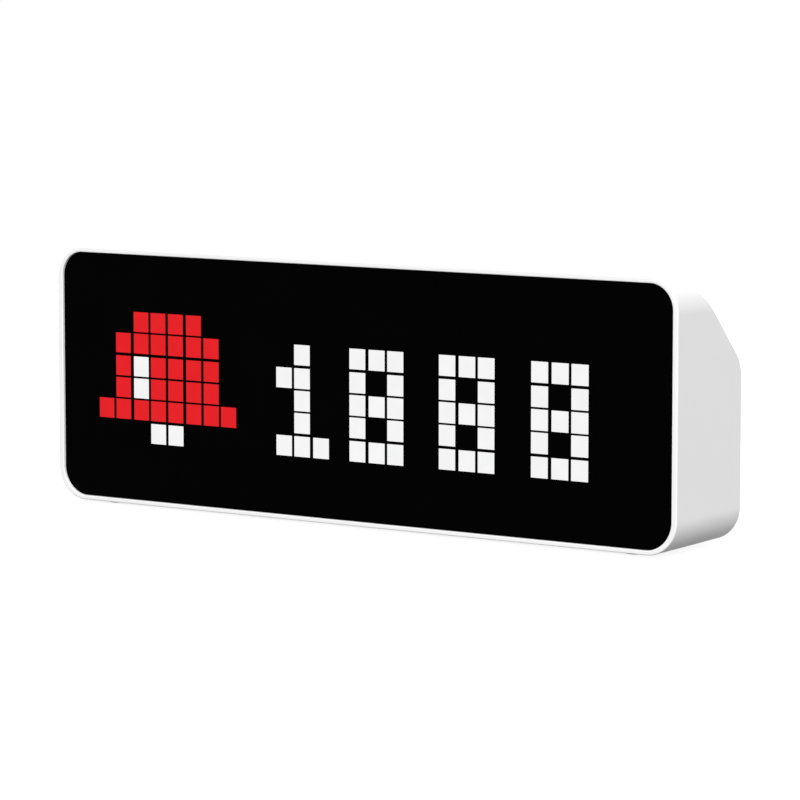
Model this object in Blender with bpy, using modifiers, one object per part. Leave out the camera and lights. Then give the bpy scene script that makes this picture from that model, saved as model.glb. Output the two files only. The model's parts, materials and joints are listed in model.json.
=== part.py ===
"""Pixel clock: a white one-piece housing with a sloped back, a smoked front panel and a 32 by 8 light grid.

Metres, +Z up, the display faces -Y. The origin is under the middle of the clock, on what it stands on.
Places inside the clock are given as x, depth behind the front plane and height above the housing's base.
"""

import math

import bmesh
import bpy
from mathutils import Matrix, Vector

# Display, from which the housing takes its width and height
columns = 32
rows = 8
pixel_pitch = 0.00603
grid_wall = 0.0006
grid_border = 0.0006
grid_side_gap = 0.00062
grid_depth = 0.0048
led_side = 0.0035
led_height = 0.0014
led_sink = 0.0002

# Housing
wall = 0.0027
side_rim = 0.0016
upper_rim = 0.00125
corner_radius = 0.009
panel_corner_radius = 0.0062
front_edge_radius = 0.0005
back_edge_radius = 0.0006
side_draft = math.radians(0.7)
top_flat = 0.0089
slope_angle = math.radians(45)
slope_blend_radius = 0.008

# Layers behind the front plane
panel_recess = 0.0009
panel_thickness = 0.0015
panel_edge_radius = 0.0002
tape_thickness = 0.0003
diffuser_thickness = 0.0005
board_thickness = 0.0016
board_edge_gap = 0.0005
notch_margin = 0.0004
notch_side_gap = 0.0005

# Clearances and overrun of the cutters
fit_gap = 0.0003
overrun = 0.002
merge_distance = 0.000001

# Feet
foot_height = 0.0008
foot_recess = 0.0008
foot_radius = 0.0037
foot_edge_radius = 0.0003
foot_side_distance = 0.016
foot_front_distance = 0.0077
foot_back_distance = 0.0077
foot_names = ("front_left", "front_right", "back_left", "back_right")

# Screws, posts and bosses
screw_radius = 0.001
screw_length = 0.0044
screw_head_radius = 0.0019
screw_head_height = 0.0012
driver_radius = 0.0009
driver_depth = 0.0006
board_hole_gap = 0.0002
post_radius = 0.0025
post_side_distance = 0.0123

# Push switches and their buttons
press_travel = 0.0004
switch_length = 0.006
switch_width = 0.0035
switch_height = 0.0025
switch_pocket = 0.0019
plunger_length = 0.0028
plunger_width = 0.0014
plunger_proud = 0.001
button_names = ("left", "middle", "right")
button_pitch = 0.016
button_length = 0.012
button_width = 0.003
button_proud = 0.0004
button_edge_radius = 0.0003
flange_lap = 0.0015
flange_side_lap = 0.0001
flange_thickness = 0.0009
stem_length = 0.004
stem_width = 0.0024
stem_height = 0.0008

# Button board
button_board_length = 0.064
button_board_thickness = 0.0012
button_board_lift = 0.00053
button_board_front_gap = 0.0005
button_screw_inset = 0.004
button_screw_edge = 0.0026

# Power button
power_button_radius = 0.0025
power_button_recess = 0.0002
power_flange_radius = 0.0035
power_stem_radius = 0.0013
power_stem_height = 0.0006
power_dish_depth = 0.0003

# Rear socket board
io_board_length = 0.026
io_board_side_gap = 0.0045
io_board_thickness = 0.0012
io_board_front_gap = 0.0025
io_board_lift = 0.0005
io_boss_edge = 0.004
io_boss_pitch = 0.011
io_boss_front = 0.0025
power_button_inset = 0.005
socket_inset = 0.017
socket_width = 0.0089
socket_height = 0.0032
socket_length = 0.0073
socket_shell = 0.0003
socket_recess = 0.0005
tongue_width = 0.0066
tongue_thickness = 0.0007
tongue_length = 0.0052
tongue_root_length = 0.0009

# Battery
cell_radius = 0.00915
cell_length = 0.065
cell_gap = 0.0005
cell_side_gap = 0.0007
cell_edge_radius = 0.0008
cell_groove_depth = 0.0005
cell_groove_place = 0.003
cell_cap_radius = 0.003
cell_cap_height = 0.0007
link_thickness = 0.0003
link_width = 0.009
rib_thickness = 0.0015
rib_cover = 0.0025
rib_inset = 0.009
stop_lap = 0.003
lead_radius = 0.0006
lead_pitch = 0.002
lead_rise = 0.003
lead_spread = 0.006
lead_clearance = 0.0015

# Parts on the rear of the display board
lead_socket_length = 0.008
lead_socket_depth = 0.0045
lead_socket_height = 0.005
lead_socket_wall = 0.0007
lead_socket_pocket = 0.0038
plug_height = 0.005
module_width = 0.018
module_height = 0.0255
module_thickness = 0.0008
can_width = 0.0162
can_height = 0.0178
can_depth = 0.0024
can_edge_radius = 0.0004
can_margin = 0.0009
buzzer_radius = 0.0045
buzzer_depth = 0.0042
buzzer_edge_radius = 0.0004
buzzer_hole_radius = 0.0012
buzzer_hole_depth = 0.001
vent_radius = 0.0007
vent_pitch = 0.0024
vents_round_middle = 6
climate_sensor_side = 0.0025
climate_sensor_depth = 0.0009
clock_chip_length = 0.0049
clock_chip_width = 0.0039
clock_chip_depth = 0.0015
driver_chip_side = 0.005
driver_chip_depth = 0.0009
coil_side = 0.006
coil_depth = 0.003
coil_edge = 0.0008
light_sensor_radius = 0.0015
light_sensor_depth = 0.0012
ribbon_width = 0.008
ribbon_thickness = 0.0003
ribbon_socket_length = 0.0105
ribbon_socket_depth = 0.0022
ribbon_socket_height = 0.003
side_space = 0.012
part_space = 0.006
upper_parts_drop = 0.016

# Smoothness of the rounded shapes
corner_steps = 5
edge_steps = 2
small_edge_steps = 1
blend_steps = 4
foot_steps = 12
rod_steps = 8
cell_steps = 16
cap_steps = 3
vent_steps = 6
lead_steps = 2
lead_resolution = 1
bevel_angle = math.radians(40)
sharp_angle = math.radians(35)

# Sizes that follow
cavity_back_gap = cell_side_gap
panel_back = panel_recess + panel_thickness
layer_front = panel_back + fit_gap
ledge_depth = layer_front + tape_thickness + fit_gap
grid_front = layer_front + diffuser_thickness + fit_gap
board_front = grid_front + grid_depth + fit_gap
board_back = board_front + board_thickness
rear_face = board_back + fit_gap
cell_depth = board_back + cell_side_gap + cell_radius
cavity_back = cell_depth + cell_radius + cavity_back_gap
shell_depth = cavity_back + wall

pixels_wide = columns * pixel_pitch
pixels_high = rows * pixel_pitch
shell_width = pixels_wide + 2 * (grid_border + grid_side_gap + wall)
button_stack = (
    button_board_lift + button_board_thickness + fit_gap + switch_height + plunger_proud
    + fit_gap + stem_height + flange_thickness + fit_gap
)
shell_height = pixels_high + 2 * (grid_border + button_stack + wall)

middle_height = shell_height / 2
grid_top = middle_height + pixels_high / 2 + grid_border
grid_bottom = middle_height - pixels_high / 2 - grid_border
slope_gain = 1 / math.tan(slope_angle)
front_y = -shell_depth / 2


def draft_inset(depth):
    """How far the drafted sides have drawn in at this depth."""
    return depth * math.tan(side_draft)


def slope_depth(height, inset):
    """Depth of the sloped wall's face at a height, drawn in by the inset square to the slope."""
    return top_flat + (shell_height - height) * slope_gain - inset / math.sin(slope_angle)


def slope_height(depth, inset):
    """Height of the sloped wall's face at a depth, drawn in by the inset square to the slope."""
    return shell_height - (depth - top_flat + inset / math.sin(slope_angle)) / slope_gain


button_depth = (ledge_depth + top_flat) / 2
board_inset = wall + draft_inset(board_back) + board_edge_gap
board_top = slope_height(board_back, wall) - board_edge_gap
button_board_bottom = grid_top + button_board_lift
button_board_top = button_board_bottom + button_board_thickness
switch_bottom = button_board_top + fit_gap
switch_top = switch_bottom + switch_height
button_board_front = ledge_depth + button_board_front_gap
button_board_back = slope_depth(button_board_top, wall) - fit_gap
button_screw_depth = button_board_back - button_screw_edge
button_screw_x = button_board_length / 2 - button_screw_inset
button_places = [
    (place - (len(button_names) - 1) / 2) * button_pitch for place in range(len(button_names))
]

upper_post_height = (grid_top + board_top) / 2
lower_post_height = (grid_bottom + board_inset) / 2
post_x = shell_width / 2 - post_side_distance
post_places = [
    (side * post_x, height) for height in (lower_post_height, upper_post_height) for side in (-1, 1)
]

io_board_bottom = lower_post_height + post_radius + io_board_lift
io_board_top = io_board_bottom + io_board_thickness
io_board_right = shell_width / 2 - wall - io_board_side_gap
io_board_left = io_board_right - io_board_length
io_board_front = board_back + io_board_front_gap
io_board_back = cavity_back - fit_gap - flange_thickness - press_travel - fit_gap
io_boss_depth = io_board_front + io_boss_front
io_boss_places = [io_board_left + io_boss_edge + turn * io_boss_pitch for turn in range(2)]
power_button_x = io_board_right - power_button_inset
power_button_height = io_board_top + fit_gap + switch_width / 2
socket_x = io_board_right - socket_inset
socket_middle = io_board_top + fit_gap + socket_height / 2

lower_cell_height = wall + draft_inset(cell_depth + cell_radius) + fit_gap + cell_radius
upper_cell_height = lower_cell_height + 2 * cell_radius + cell_gap
pack_middle = (lower_cell_height + upper_cell_height) / 2
rib_top = upper_cell_height + cell_radius + fit_gap + rib_cover
link_x = cell_length / 2 + fit_gap + link_thickness / 2
stop_x = link_x + link_thickness / 2 + fit_gap + rib_thickness / 2
stop_outside = stop_x + rib_thickness / 2

left_parts_x = -(stop_outside + side_space + module_width / 2)
module_bottom = pack_middle
buzzer_x = left_parts_x - module_width / 2 - part_space - buzzer_radius
buzzer_height = pack_middle + buzzer_radius
lead_socket_x = stop_outside + side_space + lead_socket_length / 2
lead_socket_top = pack_middle + lead_socket_height
chip_height = grid_top - upper_parts_drop
chip_x = lead_socket_x + lead_socket_length / 2 + part_space
ribbon_socket_top = chip_height + ribbon_socket_height / 2

foot_places = [
    (side * (shell_width / 2 - foot_side_distance), depth)
    for depth in (foot_front_distance, shell_depth - foot_back_distance)
    for side in (-1, 1)
]


def world(x, depth, height):
    """World place of a point given by x, depth behind the front plane and height above the base."""
    return Vector((x, front_y + depth, foot_height + height))


# How a flat outline's two directions and its level become X, Y and Z


def upright(across, up, level):
    return (across, level, up)


def lying(across, back, level):
    return (across, back, level)


def sideways(back, up, level):
    return (level, back, up)


for old in list(bpy.data.objects):
    bpy.data.objects.remove(old)

clock = bpy.data.collections.new("pixel_clock")
cutters = bpy.data.collections.new("cutters")
bpy.context.scene.collection.children.link(clock)
bpy.context.scene.collection.children.link(cutters)


def finish(name, colour, roughness, metallic=0.0):
    made = bpy.data.materials.new(name)
    made.use_nodes = True
    made.diffuse_color = (*colour, 1)
    shader = made.node_tree.nodes["Principled BSDF"]
    shader.inputs["Base Color"].default_value = (*colour, 1)
    shader.inputs["Roughness"].default_value = roughness
    shader.inputs["Metallic"].default_value = metallic
    return made


white_plastic = finish("white_plastic", (0.86, 0.86, 0.86), 0.45)
smoked_acrylic = finish("smoked_acrylic", (0.004, 0.004, 0.004), 0.12)
adhesive = finish("adhesive", (0.03, 0.03, 0.03), 0.8)
diffuser_film = finish("diffuser_film", (0.82, 0.82, 0.8), 0.6)
black_plastic = finish("black_plastic", (0.015, 0.015, 0.016), 0.5)
board_laminate = finish("board_laminate", (0.012, 0.014, 0.018), 0.4)
steel = finish("steel", (0.62, 0.62, 0.64), 0.3, 1.0)
nickel = finish("nickel", (0.7, 0.67, 0.6), 0.35, 1.0)
foot_rubber = finish("foot_rubber", (0.11, 0.11, 0.115), 0.85)
cell_sleeve = finish("cell_sleeve", (0.03, 0.16, 0.42), 0.35)
red_insulation = finish("red_insulation", (0.6, 0.02, 0.02), 0.45)
black_insulation = finish("black_insulation", (0.02, 0.02, 0.02), 0.45)
connector_plastic = finish("connector_plastic", (0.78, 0.76, 0.68), 0.5)
ribbon_film = finish("ribbon_film", (0.85, 0.85, 0.83), 0.4)


def made_object(name, shape, surface=None, location=(0, 0, 0)):
    """A new object from a bmesh: a part in the clock where it has a surface, otherwise a cutter."""
    bmesh.ops.recalc_face_normals(shape, faces=shape.faces)
    mesh = bpy.data.meshes.new(name)
    shape.to_mesh(mesh)
    shape.free()
    made = bpy.data.objects.new(name, mesh)
    made.location = location
    if surface:
        clock.objects.link(made)
        mesh.materials.append(surface)
    else:
        cutters.objects.link(made)
        made.hide_render = True
        made.display_type = "WIRE"
    return made


def boolean(target, other, operation="DIFFERENCE"):
    step = target.modifiers.new(other.name, "BOOLEAN")
    step.operation = operation
    step.solver = "EXACT"
    step.object = other


def outline(width, height, radius, steps=corner_steps):
    """Points of a rounded rectangle round the origin, one arc for each corner."""
    points = []
    for quarter, (across, up) in enumerate(((1, 1), (-1, 1), (-1, -1), (1, -1))):
        for step in range(steps + 1):
            angle = (quarter + step / steps) * math.pi / 2
            point = (
                across * (width / 2 - radius) + radius * math.cos(angle),
                up * (height / 2 - radius) + radius * math.sin(angle),
            )
            if not points or math.dist(points[-1], point) > merge_distance:
                points.append(point)
    if math.dist(points[0], points[-1]) < merge_distance:
        points.pop()
    return points


def pill(length, width):
    return outline(length, width, width / 2, cap_steps)


def shell_outline(inset):
    """The housing's outline drawn in by the inset."""
    return outline(shell_width - 2 * inset, shell_height - 2 * inset, corner_radius - inset)


def panel_outline(gap):
    """The front panel's outline grown by the gap around it."""
    width = shell_width - 2 * (side_rim + fit_gap - gap)
    height = shell_height - 2 * (upper_rim + fit_gap - gap)
    return outline(width, height, panel_corner_radius + gap)


def plate(name, points, thickness, stand, surface=None, location=(0, 0, 0)):
    """A flat outline extruded by its thickness."""
    shape = bmesh.new()
    face = shape.faces.new([shape.verts.new(stand(u, v, 0)) for u, v in points])
    grown = bmesh.ops.extrude_face_region(shape, geom=[face])["geom"]
    moved = [corner for corner in grown if isinstance(corner, bmesh.types.BMVert)]
    bmesh.ops.translate(shape, verts=moved, vec=stand(0, 0, thickness))
    return made_object(name, shape, surface, location)


def lofted(name, sections, stand, surface=None, location=(0, 0, 0)):
    """A solid through outlines that have equally many points, each given with its level."""
    shape = bmesh.new()
    rings = [[shape.verts.new(stand(u, v, level)) for u, v in points] for points, level in sections]
    for ring, following in zip(rings, rings[1:]):
        for corner in range(len(ring)):
            shape.faces.new((ring[corner - 1], ring[corner], following[corner], following[corner - 1]))
    shape.faces.new(rings[0])
    shape.faces.new(rings[-1])
    return made_object(name, shape, surface, location)


def rods(name, radius, length, centres, turn=Matrix.Identity(4), steps=rod_steps):
    """Rods of one size, each centred on a point and standing along Z before the turn."""
    shape = bmesh.new()
    for centre in centres:
        bmesh.ops.create_cone(
            shape, cap_ends=True, segments=steps, radius1=radius, radius2=radius, depth=length,
            matrix=Matrix.Translation(centre) @ turn,
        )
    return made_object(name, shape)


def blocks(name, size, centres):
    """Blocks of one size, each centred on a point."""
    shape = bmesh.new()
    for centre in centres:
        bmesh.ops.create_cube(shape, size=1, matrix=Matrix.Translation(centre) @ Matrix.Diagonal((*size, 1)))
    return made_object(name, shape)


def block(name, size, surface, centre):
    shape = bmesh.new()
    bmesh.ops.create_cube(shape, size=1, matrix=Matrix.Diagonal((*size, 1)))
    return made_object(name, shape, surface, centre)


def soften(target, radius, steps=small_edge_steps):
    step = target.modifiers.new("edges", "BEVEL")
    step.width = radius
    step.segments = steps
    step.limit_method = "ANGLE"
    step.angle_limit = bevel_angle


def turned(name, profile, surface, location, turn=(0, 0, 0), steps=rod_steps):
    """A turned solid: its profile of radius and level runs from the top of the axis down to its bottom."""
    shape = bmesh.new()
    corners = [shape.verts.new((radius, 0, level)) for radius, level in profile]
    for corner, following in zip(corners, corners[1:]):
        shape.edges.new((corner, following))
    made = made_object(name, shape, surface, location)
    made.rotation_euler = turn
    step = made.modifiers.new("turn", "SCREW")
    step.steps = steps
    step.render_steps = steps
    step.use_merge_vertices = True
    step.merge_threshold = merge_distance
    step.use_smooth_shade = False
    return made


def quarter_round(radius, steps=edge_steps):
    """Pairs of distance along and inset that round an edge off, from its end face to its side."""
    angles = [math.pi / 2 * step / steps for step in range(steps + 1)]
    return [(radius * (1 - math.cos(angle)), radius * (1 - math.sin(angle))) for angle in angles]


toward_back = (-math.pi / 2, 0, 0)
toward_front = (math.pi / 2, 0, 0)
turn_to_depth = Matrix.Rotation(math.pi / 2, 4, "X")


# Housing


def slope_cutter(name, inset):
    """All that lies outside the slope and its blend into the back, drawn in by the inset."""
    back = shell_depth - inset
    radius = slope_blend_radius - inset
    sweep = math.pi / 2 - slope_angle
    meeting = shell_height - (back - slope_depth(shell_height, inset)) / slope_gain
    centre = (back - radius, meeting - radius * math.tan(sweep / 2))
    angles = [sweep * step / blend_steps for step in range(blend_steps + 1)]
    points = [(centre[0] + radius * math.cos(a), centre[1] + radius * math.sin(a)) for a in angles]
    above = shell_height + overrun
    behind = shell_depth + overrun
    points += [(slope_depth(above, inset), above), (behind, above), (behind, centre[1])]
    reach = shell_width + 2 * overrun
    return plate(name, points, reach, sideways, location=world(-reach / 2, 0, 0))


def outer_form():
    front = [
        (shell_outline(inset + draft_inset(along)), along)
        for along, inset in quarter_round(front_edge_radius)
    ]
    back = [
        (shell_outline(inset + draft_inset(shell_depth - along)), shell_depth - along)
        for along, inset in reversed(quarter_round(back_edge_radius))
    ]
    return lofted("housing", front + back, upright, white_plastic, world(0, 0, middle_height))


def battery_rib(name, x, reach):
    """A rib that reaches round both cells from behind and is open to the front."""
    angles = [math.pi / 2 * step / blend_steps for step in range(blend_steps + 1)]
    upper = [
        (cell_depth + reach * math.sin(a), upper_cell_height + reach * math.cos(a)) for a in angles
    ]
    lower = [
        (cell_depth + reach * math.cos(a), lower_cell_height - reach * math.sin(a)) for a in angles
    ]
    points = [(rear_face, 0), (rear_face, lower[-1][1])] + lower[::-1] + upper[::-1]
    points += [(rear_face, upper[0][1]), (rear_face, rib_top), (shell_depth, rib_top), (shell_depth, 0)]
    return plate(name, points, rib_thickness, sideways, location=world(x - rib_thickness / 2, 0, 0))


def hollow():
    """The space inside the housing, less the posts, bosses and ribs that stand in it."""
    ends = (-overrun, cavity_back)
    space = lofted(
        "hollow",
        [(shell_outline(wall + draft_inset(level)), level) for level in ends],
        upright,
        location=world(0, 0, middle_height),
    )
    boolean(space, slope_cutter("slope_inside", wall))
    length = shell_depth - rear_face
    middle = rear_face + length / 2
    posts = [world(x, middle, height) for x, height in post_places]
    boolean(space, rods("posts", post_radius, length, posts, turn_to_depth))
    top = io_board_bottom - fit_gap
    bosses = [world(x, io_boss_depth, top / 2) for x in io_boss_places]
    boolean(space, rods("socket_board_bosses", post_radius, top, bosses))
    low = button_board_top + fit_gap
    length = shell_height - low
    bosses = [world(side * button_screw_x, button_screw_depth, low + length / 2) for side in (-1, 1)]
    boolean(space, rods("button_board_bosses", post_radius, length, bosses))
    snug = cell_radius + fit_gap
    for side in (-1, 1):
        boolean(space, battery_rib("rib", side * (cell_length / 2 - rib_inset), snug))
        boolean(space, battery_rib("stop_rib", side * stop_x, snug - stop_lap))
    return space


def pilot_holes():
    """Screw holes in the posts and bosses, a gap longer and wider than the screws."""
    radius = screw_radius + fit_gap
    tip = board_front - fit_gap + screw_length + fit_gap
    length = tip - rear_face + overrun
    places = [world(x, tip - length / 2, height) for x, height in post_places]
    yield rods("post_pilots", radius, length, places, turn_to_depth)
    tip = io_board_top + fit_gap - screw_length - fit_gap
    length = io_board_bottom - tip
    places = [world(x, io_boss_depth, tip + length / 2) for x in io_boss_places]
    yield rods("socket_board_pilots", radius, length, places)
    tip = button_board_bottom - fit_gap + screw_length + fit_gap
    length = tip - button_board_top
    places = [world(side * button_screw_x, button_screw_depth, tip - length / 2) for side in (-1, 1)]
    yield rods("button_board_pilots", radius, length, places)


def wall_openings():
    """Openings through the walls and the recesses for the feet."""
    pocket = panel_outline(fit_gap)
    yield plate(
        "panel_pocket", pocket, ledge_depth + overrun, upright, location=world(0, -overrun, middle_height)
    )
    recess = foot_recess + overrun
    places = [world(x, depth, foot_recess - recess / 2) for x, depth in foot_places]
    yield rods("foot_recesses", foot_radius + fit_gap, recess, places, steps=foot_steps)
    slot = pill(button_length + 2 * fit_gap, button_width + 2 * fit_gap)
    for x in button_places:
        place = world(x, button_depth, shell_height - wall - overrun)
        yield plate("button_opening", slot, wall + 2 * overrun, lying, location=place)
    place = [world(power_button_x, shell_depth - wall / 2, power_button_height)]
    length = wall + 2 * overrun
    yield rods("power_opening", power_button_radius + fit_gap, length, place, turn_to_depth, foot_steps)
    slot = pill(socket_width + 2 * fit_gap, socket_height + 2 * fit_gap)
    place = world(socket_x, shell_depth - wall - overrun, socket_middle)
    yield plate("socket_opening", slot, length, upright, location=place)
    around = [(0, 0)]
    for turn in range(vents_round_middle):
        angle = turn * 2 * math.pi / vents_round_middle
        around.append((vent_pitch * math.cos(angle), vent_pitch * math.sin(angle)))
    places = [world(buzzer_x + x, shell_depth - wall / 2, buzzer_height + up) for x, up in around]
    yield rods("vents", vent_radius, length, places, turn_to_depth, vent_steps)


def housing():
    shell = outer_form()
    boolean(shell, slope_cutter("slope_outside", 0))
    boolean(shell, hollow())
    for cutter in (*wall_openings(), *pilot_holes()):
        boolean(shell, cutter)


# Front panel and display layers


def panel():
    sheet = panel_outline(0)
    place = world(0, panel_recess, middle_height)
    soften(plate("front_panel", sheet, panel_thickness, upright, smoked_acrylic, place), panel_edge_radius)
    frame = plate(
        "panel_tape", sheet, tape_thickness, upright, adhesive, world(0, layer_front, middle_height)
    )
    hole = plate(
        "tape_opening", shell_outline(wall), tape_thickness + 2 * overrun, upright,
        location=world(0, layer_front - overrun, middle_height),
    )
    boolean(frame, hole)


def diffuser():
    sheet = outline(pixels_wide + 2 * grid_border, pixels_high + 2 * grid_border, grid_border, 1)
    plate(
        "diffuser_sheet", sheet, diffuser_thickness, upright, diffuser_film,
        world(0, layer_front, middle_height),
    )


def light_grid():
    """A sheet of square cells whose insides are removed, thickened to the depth of the light wells."""
    shape = bmesh.new()
    bmesh.ops.create_grid(shape, x_segments=columns, y_segments=rows, size=1)
    bmesh.ops.scale(shape, vec=(pixels_wide / 2, pixels_high / 2, 1), verts=shape.verts)
    cells = list(shape.faces)
    bmesh.ops.inset_individual(shape, faces=cells, thickness=grid_wall / 2)
    bmesh.ops.delete(shape, geom=cells, context="FACES_ONLY")
    outer = [
        edge for edge in shape.edges
        if edge.is_boundary and all(
            abs(corner.co.x) > pixels_wide / 2 - merge_distance
            or abs(corner.co.y) > pixels_high / 2 - merge_distance
            for corner in edge.verts
        )
    ]
    grown = bmesh.ops.extrude_edge_only(shape, edges=outer)["geom"]
    border = (1 + 2 * grid_border / pixels_wide, 1 + 2 * grid_border / pixels_high, 1)
    rim = [corner for corner in grown if isinstance(corner, bmesh.types.BMVert)]
    bmesh.ops.scale(shape, vec=border, verts=rim)
    made = made_object("light_grid", shape, black_plastic, world(0, grid_front, middle_height))
    made.rotation_euler = toward_front
    step = made.modifiers.new("wells", "SOLIDIFY")
    step.thickness = grid_depth
    step.offset = -1 if made.data.polygons[0].normal.z > 0 else 1


def matrix_board():
    """The display board with its lamps, cut away at the top for the button board."""
    edge = outline(shell_width - 2 * board_inset, board_top - board_inset, corner_radius - board_inset)
    board = plate(
        "matrix_board", edge, board_thickness, upright, board_laminate,
        world(0, board_front, (board_top + board_inset) / 2),
    )
    notch_width = button_board_length + 2 * notch_side_gap
    notch_floor = grid_top - grid_border - (pixel_pitch - led_side) / 2 + notch_margin
    notch_height = shell_height - notch_floor
    size = (notch_width, board_thickness + 2 * overrun, notch_height)
    centre = world(0, board_front + board_thickness / 2, notch_floor + notch_height / 2)
    boolean(board, blocks("board_notch", size, [centre]))
    length = board_thickness + 2 * overrun
    places = [world(x, board_front + board_thickness / 2, height) for x, height in post_places]
    boolean(board, rods("board_holes", screw_radius + board_hole_gap, length, places, turn_to_depth))
    size = (led_side, led_height + led_sink, led_side)
    lamps = [
        world(
            (column - (columns - 1) / 2) * pixel_pitch,
            board_front + led_sink - size[1] / 2,
            middle_height + (row - (rows - 1) / 2) * pixel_pitch,
        )
        for column in range(columns)
        for row in range(rows)
    ]
    boolean(board, blocks("lamps", size, lamps), "UNION")


# Screws and feet


def screw(name, place, turn=(0, 0, 0)):
    """A pan-head screw. Its head's underside is at the place, and its shaft runs down from there."""
    top = screw_head_height
    profile = [
        (0, top - driver_depth),
        (driver_radius, top),
        (screw_head_radius, top / 2),
        (screw_head_radius, 0),
        (screw_radius, 0),
        (screw_radius, screw_radius - screw_length),
        (0, -screw_length),
    ]
    turned(name, profile, steel, place, turn)


def screws():
    for number, (x, height) in enumerate(post_places, 1):
        screw(f"board_screw_{number}", world(x, board_front - fit_gap, height), toward_front)
    for number, x in enumerate(io_boss_places, 1):
        screw(f"socket_board_screw_{number}", world(x, io_boss_depth, io_board_top + fit_gap))
    for number, side in enumerate((-1, 1), 1):
        place = world(side * button_screw_x, button_screw_depth, button_board_bottom - fit_gap)
        screw(f"button_board_screw_{number}", place, (math.pi, 0, 0))


def feet():
    top = foot_recess - fit_gap
    rounding = quarter_round(foot_edge_radius, small_edge_steps)
    low = [(foot_radius - inset, along - foot_height) for along, inset in rounding]
    profile = [(0, top), (foot_radius, top)] + low[::-1] + [(0, -foot_height)]
    for name, (x, depth) in zip(foot_names, foot_places):
        turned(f"foot_{name}", profile, foot_rubber, world(x, depth, 0), steps=foot_steps)


# Push switches and buttons


def switch_body(name, place, turn=(0, 0, 0)):
    """The fixed body of a push switch, its pocket open upward. The place is the middle of its foot."""
    size = (switch_length, switch_width, switch_height)
    body = block(name, size, black_plastic, (0, 0, 0))
    for corner in body.data.vertices:
        corner.co.z += switch_height / 2
    body.location = place
    body.rotation_euler = turn
    hole = pill(plunger_length + 2 * fit_gap, plunger_width + 2 * fit_gap)
    pocket = plate(name + "_pocket", hole, switch_pocket + overrun, lying)
    for corner in pocket.data.vertices:
        corner.co.z += switch_height - switch_pocket
    pocket.location = place
    pocket.rotation_euler = turn
    boolean(body, pocket)


def switch_plunger(name, place, turn=(0, 0, 0)):
    """The part of the switch that travels. The place is the middle of the switch's foot."""
    low = switch_height - switch_pocket + press_travel + fit_gap
    tip = switch_height + plunger_proud
    sections = [(pill(plunger_length, plunger_width), level) for level in (low, tip)]
    made = lofted(name, sections, lying, connector_plastic, place)
    made.rotation_euler = turn


def button_cap(name, place):
    """A top button with its retaining flange and stem. The place is the bottom of the stem."""
    flange_top = stem_height + flange_thickness
    top = flange_top + fit_gap + wall + draft_inset(button_depth) + button_proud
    flange_length = button_length + 2 * flange_lap
    flange_width = button_width + 2 * flange_side_lap
    sections = [
        (pill(stem_length, stem_width), 0),
        (pill(stem_length, stem_width), stem_height),
        (pill(flange_length, flange_width), stem_height),
        (pill(flange_length, flange_width), flange_top),
        (pill(button_length, button_width), flange_top),
    ]
    sections += [
        (pill(button_length - 2 * inset, button_width - 2 * inset), top - along)
        for along, inset in reversed(quarter_round(button_edge_radius, small_edge_steps))
    ]
    lofted(name, sections, lying, white_plastic, place)


def top_buttons():
    board = block(
        "button_board",
        (button_board_length, button_board_back - button_board_front, button_board_thickness),
        board_laminate,
        world(
            0,
            (button_board_front + button_board_back) / 2,
            (button_board_bottom + button_board_top) / 2,
        ),
    )
    length = button_board_thickness + 2 * overrun
    middle = (button_board_bottom + button_board_top) / 2
    places = [world(side * button_screw_x, button_screw_depth, middle) for side in (-1, 1)]
    boolean(board, rods("button_board_holes", screw_radius + board_hole_gap, length, places))
    for name, x in zip(button_names, button_places):
        foot = world(x, button_depth, switch_bottom)
        switch_body(f"{name}_switch", foot)
        switch_plunger(f"{name}_plunger", foot)
        button_cap(f"{name}_button", world(x, button_depth, switch_top + plunger_proud + fit_gap))


def power_control():
    """The rear button, turned about its travel, and the switch that it presses."""
    flange_top = power_stem_height + flange_thickness
    top = flange_top + fit_gap + wall - power_button_recess
    rounding = quarter_round(button_edge_radius, small_edge_steps)
    rim = [(power_button_radius - inset, top - along) for along, inset in rounding]
    profile = [
        (0, top - power_dish_depth),
        *rim,
        (power_button_radius, flange_top),
        (power_flange_radius, flange_top),
        (power_flange_radius, power_stem_height),
        (power_stem_radius, power_stem_height),
        (power_stem_radius, 0),
        (0, 0),
    ]
    stem_depth = shell_depth - power_button_recess - top
    place = world(power_button_x, stem_depth, power_button_height)
    turned("power_button", profile, white_plastic, place, toward_back, foot_steps)
    foot_depth = stem_depth - fit_gap - plunger_proud - switch_height
    foot = world(power_button_x, foot_depth, power_button_height)
    switch_body("power_switch", foot, toward_back)
    switch_plunger("power_plunger", foot, toward_back)


# Rear socket board


def socket_board():
    middle = (io_board_bottom + io_board_top) / 2
    board = block(
        "socket_board",
        (io_board_length, io_board_back - io_board_front, io_board_thickness),
        board_laminate,
        world((io_board_left + io_board_right) / 2, (io_board_front + io_board_back) / 2, middle),
    )
    length = io_board_thickness + 2 * overrun
    places = [world(x, io_boss_depth, middle) for x in io_boss_places]
    boolean(board, rods("socket_board_holes", screw_radius + board_hole_gap, length, places))


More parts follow.
